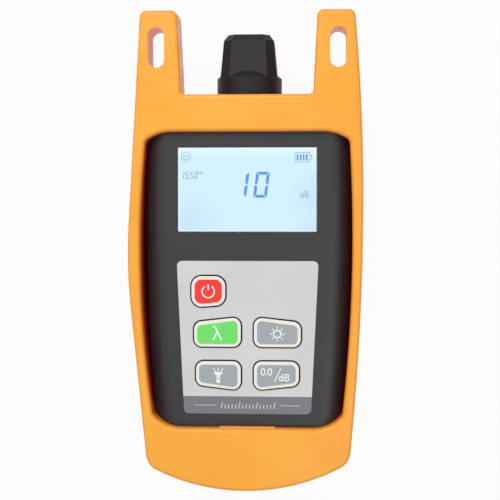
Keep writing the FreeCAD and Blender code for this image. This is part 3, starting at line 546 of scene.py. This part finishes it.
def hole_edge(key):
    """The corners of the label's hole round a key, sorted by their angle about its middle."""
    low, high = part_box(key)
    mesh = bpy.data.objects["keypad_label"].data
    points = np.empty(len(mesh.vertices) * 3)
    mesh.vertices.foreach_get("co", points)
    points = np.unique(points.reshape(-1, 3).round(6), axis=0)
    middle = (np.array(low[:2]) + high[:2]) / 2
    reach = (np.array(high[:2]) - low[:2]) / 2 + SHADE_RING_SEARCH * MM
    near = (np.abs(points[:, :2] - middle) < reach).all(1) & (points[:, 2] > label_high[2] - 1e-5)
    away = points[near, :2] - middle
    away = away[np.argsort(np.arctan2(away[:, 1], away[:, 0]))]
    far = np.linalg.norm(away, axis=1, keepdims=True)
    return (middle + away * (1 + SHADE_RING_WIDTH / 2 * MM / far)) / MM


gap_shade_ink = screen_ink("gap_shade_black", "#0E0D0F")
low, high = label_high[2] / MM - SUNK, label_high[2] / MM + INK / 2
# Painted shade: a thin black ring on the label round each key, for the shade in the gap.
piece("key_gap_shade", [
    bar(hole_edge(name), SHADE_RING_WIDTH, low, high, True)
    for name in ("key_power", "key_wavelength", "key_backlight", "key_torch", "key_reference")
], gap_shade_ink, "meter")

# %% Stand-by, wavelength and backlight signs
x, y, low, high = on_top("key_power")
piece("sign_standby", [
    bar(arc((x, y), 2.3, 124, 416, 40), 0.5, low, high),
    bar([(x, y + 0.5), (x, y + 2.75)], 0.5, low, high),
], white_ink, "key_power_body")

x, y, low, high = on_top("key_wavelength")
piece("sign_wavelength", [
    bar([(x - 1.7, y + 2.3), (x - 1.1, y + 2.3), (x - 0.72, y + 1.95), (x + 1.62, y - 2.85)],
        0.6, low, high),
    bar([(x - 0.02, y + 0.3), (x - 1.6, y - 2.85)], 0.56, low, high),
], white_ink, "key_wavelength_body")

x, y, low, high = on_top("key_backlight")
y -= 0.4
rays = [arc((x, y), reach, 0, 360, 9)[:-1] for reach in (2.0, 2.75)]
piece("sign_backlight", [bar(ring((x, y), 1.38), 0.52, low, high, True)] + [
    bar([start, end], 0.42, low, high) for start, end in zip(*rays)
], white_ink, "key_backlight_body")

# %% Torch and zero signs
x, y, low, high = on_top("key_torch")
head = [(-1.65, 1.36), (-1.65, 0.85), (-0.68, -0.1), (0.68, -0.1), (1.65, 0.85), (1.65, 1.36)]
piece("sign_torch", [
    plate(np.array(head) + (x, y), low, high),
    bar([(x, y - 0.3), (x, y - 0.75)], 1.36, low, high),
    bar([(x - 0.46, y - 0.75), (x - 0.46, y - 1.45)], 0.44, low, high),
    bar([(x + 0.46, y - 0.75), (x + 0.46, y - 1.45)], 0.44, low, high),
    bar([(x, y - 1.45), (x, y - 2.85)], 1.36, low, high),
    bar([(x, y + 1.75), (x, y + 2.95)], 0.36, low, high),
    bar([(x - 1.05, y + 1.7), (x - 1.85, y + 2.75)], 0.36, low, high),
    bar([(x + 1.05, y + 1.7), (x + 1.85, y + 2.75)], 0.36, low, high),
], white_ink, "key_torch_body")

x, y, low, high = on_top("key_reference")
piece("sign_zero", [
    *legend("0.0", x - 5.7, y + 0.2, 2.6, 0.42, low, high),
    bar([(x - 0.65, y - 2.15), (x + 1.75, y + 2.9)], 0.36, low, high),
    *legend("dB", x + 1.1, y - 1.9, 2.55, 0.4, low, high),
], white_ink, "key_reference_body")

# %% [markdown]
# ## Marks on the label's strip
#
# The strip at the foot of the label carries two fine rules and, between them, a row of leaning
# scale marks in pale ink.  Every fifth mark is taller, as on a ruler.

# %% Strip marks
strip_ink = screen_ink("pale_screen_ink", "#CFD0D6")
low, high = label_high[2] / MM - SUNK, label_high[2] / MM + INK
STRIP_MIDDLE = -58.7
TICKS, TICK_PITCH, TICK_LEAN = 16, 1.32, 0.22
rules = [bar([(side * 11.9, STRIP_MIDDLE), (side * 20.0, STRIP_MIDDLE)], 0.22, low, high)
         for side in (-1, 1)]
ticks = []
for number in range(TICKS):
    foot = (number - (TICKS - 1) / 2) * TICK_PITCH
    tall = 2.4 if number % 5 == 0 else 1.5
    ticks.append(bar([(foot, STRIP_MIDDLE - 1.2),
                      (foot + TICK_LEAN * tall, STRIP_MIDDLE - 1.2 + tall)], 0.34, low, high))
piece("strip_marks", rules + ticks, strip_ink, "meter")

# %% [markdown]
# ## Segments in the display
#
# A liquid crystal digit is seven bars with mitred ends, leaning a few degrees, and each bar is
# blue where it blocks the light.  One function draws a digit of any size from the letters of its
# lit bars.  The fine signs round it, the cell gauge and the units, are thin and paler.

# %% Seven-segment digits
def digit(lit, left, base, width, height, thick, gap, low, high, lean=0.13):
    """The lit bars of a seven-segment digit, as mitred plates.

    The outline is a frame of the given thickness.  Bars meet on its diagonals, each a gap back
    from the corner, and the whole digit leans by a tangent.
    """
    middle = height / 2
    side = [(0, height - gap), (thick, height - gap - thick), (thick, middle + gap + thick / 2),
            (thick / 2, middle + gap), (0, middle + gap)]
    top = [(gap, height), (gap + thick, height - thick), (width - gap - thick, height - thick),
           (width - gap, height)]
    flip_x = np.array([-1, 1])
    flip_y = np.array([1, -1])
    right = (width, 0)
    down = (0, height)
    side, top = np.array(side), np.array(top)
    bars = {
        "f": side, "b": side[::-1] * flip_x + right,
        "e": side[::-1] * flip_y + down, "c": side * flip_x * flip_y + right + down,
        "a": top, "d": top[::-1] * flip_y + down,
        "g": [(thick, middle), (thick * 1.5, middle - thick / 2),
              (width - thick * 1.5, middle - thick / 2), (width - thick, middle),
              (width - thick * 1.5, middle + thick / 2), (thick * 1.5, middle + thick / 2)],
    }
    shapes = []
    for name in lit:
        outline = np.asarray(bars[name], float)
        placed = np.stack([left + outline[:, 0] + outline[:, 1] * lean,
                           base + outline[:, 1]], 1)
        shapes.append(plate(placed, low, high))
    return shapes


SEGMENTS = {"0": "abcdef", "1": "bc", "5": "afgcd"}
segment_blue = screen_ink("crystal_blue", "#3D97EA")
segment_pale = screen_ink("crystal_pale", "#6F9CBF")
low, high = glass_high[2] / MM - SUNK, glass_high[2] / MM + INK
BASE, TALL, WIDE, THICK = 19.4, 9.7, 5.1, 1.1
reading = []
for number, left in (("1", -5.7), ("0", 2.0)):
    reading += digit(SEGMENTS[number], left, BASE, WIDE, TALL, THICK, 0.18, low, high)
piece("reading_digits", reading, segment_blue, "meter")

# %% Fine signs of the display
wave = []
for place, number in enumerate("1550"):
    wave += digit(SEGMENTS[number], -25.3 + place * 1.7, 26.45, 1.15, 2.7, 0.3, 0.06, low, high)
wave += legend("nm", -18.2, 28.3, 0.9, 0.16, low, high)
wave += legend("dB", 19.6, 19.5, 2.2, 0.24, low, high)
gauge_x, gauge_y = 17.7, 32.75
outline = [(0, 0), (5.5, 0), (5.5, 1.1), (6.2, 1.1), (6.2, 2.4), (5.5, 2.4), (5.5, 3.5), (0, 3.5)]
wave.append(bar(np.array(outline) + (gauge_x, gauge_y), 0.2, low, high, True))
wave.append(bar(ring((-23.3, 34.8), 1.72), 0.2, low, high, True))
wave.append(bar(arc((-23.3, 34.65), 0.85, 130, 410), 0.2, low, high))
wave.append(bar([(-23.3, 34.6), (-23.3, 35.8)], 0.2, low, high))
piece("fine_signs", wave, segment_pale, "meter")
charge = []
for place in range(4):
    left = gauge_x + 0.95 + place * 1.15
    charge.append(bar([(left, gauge_y + 0.6), (left, gauge_y + 2.9)], 0.66, low, high))
piece("charge_bars", charge, segment_blue, "meter")

# %% [markdown]
# ## Floor, light and camera
#
# The meter lies on a pale floor under broad soft light, nearly face on to the camera.  A white
# floor would turn grey as soon as the light is right for the object, so the floor and the world
# are plain white to the camera and to reflections, and the floor keeps a share of its own
# shading, which is the object's soft shadow.

# %% White only for the eye
scene = bpy.context.scene
scene.view_settings.view_transform = "Standard"


def for_the_eye(tree):
    """1 for camera, mirror and glass rays, 0 for the rays that carry light."""
    path = add_node(tree, "ShaderNodeLightPath")
    seen = add_node(tree, "ShaderNodeMath", {
        0: (path, "Is Camera Ray"), 1: (path, "Is Glossy Ray")}, operation="MAXIMUM")
    return add_node(tree, "ShaderNodeMath", {
        0: (seen, 0), 1: (path, "Is Transmission Ray")}, operation="MAXIMUM")


SKY = 0.5
world = bpy.data.worlds.new("studio")
scene.world = world
world.use_nodes = True
tree = world.node_tree
level = add_node(tree, "ShaderNodeMapRange", {
    "Value": (for_the_eye(tree), 0), "To Min": SKY, "To Max": 1.0})
tree.links.new(level.outputs[0], tree.nodes["Background"].inputs["Strength"])
tree.nodes["Background"].inputs["Color"].default_value = (1, 1, 1, 1)

# %% Floor
floor_paint = bpy.data.materials.new("white_floor")
floor_paint.use_nodes = True
tree = floor_paint.node_tree
tree.nodes.remove(tree.nodes["Principled BSDF"])
matt = add_node(tree, "ShaderNodeBsdfDiffuse", {"Color": linear("#CCCCCC")})
white = add_node(tree, "ShaderNodeEmission", {"Color": (1, 1, 1, 1), "Strength": 1.0})
share = add_node(tree, "ShaderNodeMath", {0: (for_the_eye(tree), 0), 1: 0.95},
                 operation="MULTIPLY")
both = add_node(tree, "ShaderNodeMixShader", {0: (share, 0), 1: (matt, 0), 2: (white, 0)})
tree.links.new(both.outputs[0], tree.nodes["Material Output"].inputs["Surface"])
FLOOR_HALF = 2.0
corners = [(x * FLOOR_HALF, y * FLOOR_HALF, cad_low[2]) for x, y in
           ((-1, -1), (1, -1), (1, 1), (-1, 1))]
floor_mesh = bpy.data.meshes.new("floor")
floor_mesh.from_pydata(corners, [], [(0, 1, 2, 3)])
floor_mesh.materials.append(floor_paint)
floor = bpy.data.objects.new("floor", floor_mesh)
scene.collection.objects.link(floor)
floor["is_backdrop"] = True

# %% Lamps and camera
def face(place, target):
    """A matrix at a place in mm whose -Z looks at a target in mm and whose +Y is up the face."""
    place, target = Vector(place), Vector(target)
    back = (place - target).normalized()
    across = Vector((0, 1, 0)).cross(back).normalized()
    turn = Matrix((across, back.cross(across), back)).transposed().to_4x4()
    return Matrix.Translation(place * MM) @ turn


def area_lamp(name, place, size, power):
    """A square soft lamp at a place in mm that lights the middle of the meter."""
    data = bpy.data.lights.new(name, "AREA")
    data.size = size * MM
    data.energy = power
    lamp = bpy.data.objects.new(name, data)
    lamp.matrix_world = face(place, (0, 0, 0))
    scene.collection.objects.link(lamp)


area_lamp("high_light", (-180, 400, 550), 330, 2.2)
area_lamp("low_light", (220, -180, 600), 400, 0.8)

CAMERA_PLACE = (27, 18.5, 487)
CAMERA_TARGET = (1.2, 0, 37)
VIEW_WIDTH = 185         # what the picture spans at the face, in mm
camera_data = bpy.data.cameras.new("camera")
camera_data.lens = camera_data.sensor_width * (CAMERA_PLACE[2] - CAMERA_TARGET[2]) / VIEW_WIDTH
camera_data.clip_start = 0.01
camera = bpy.data.objects.new("camera", camera_data)
camera.matrix_world = face(CAMERA_PLACE, CAMERA_TARGET)
scene.collection.objects.link(camera)
scene.camera = camera
print("lens", round(camera_data.lens, 1), "mm")

# %% Take the bounds and finish
low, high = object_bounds()
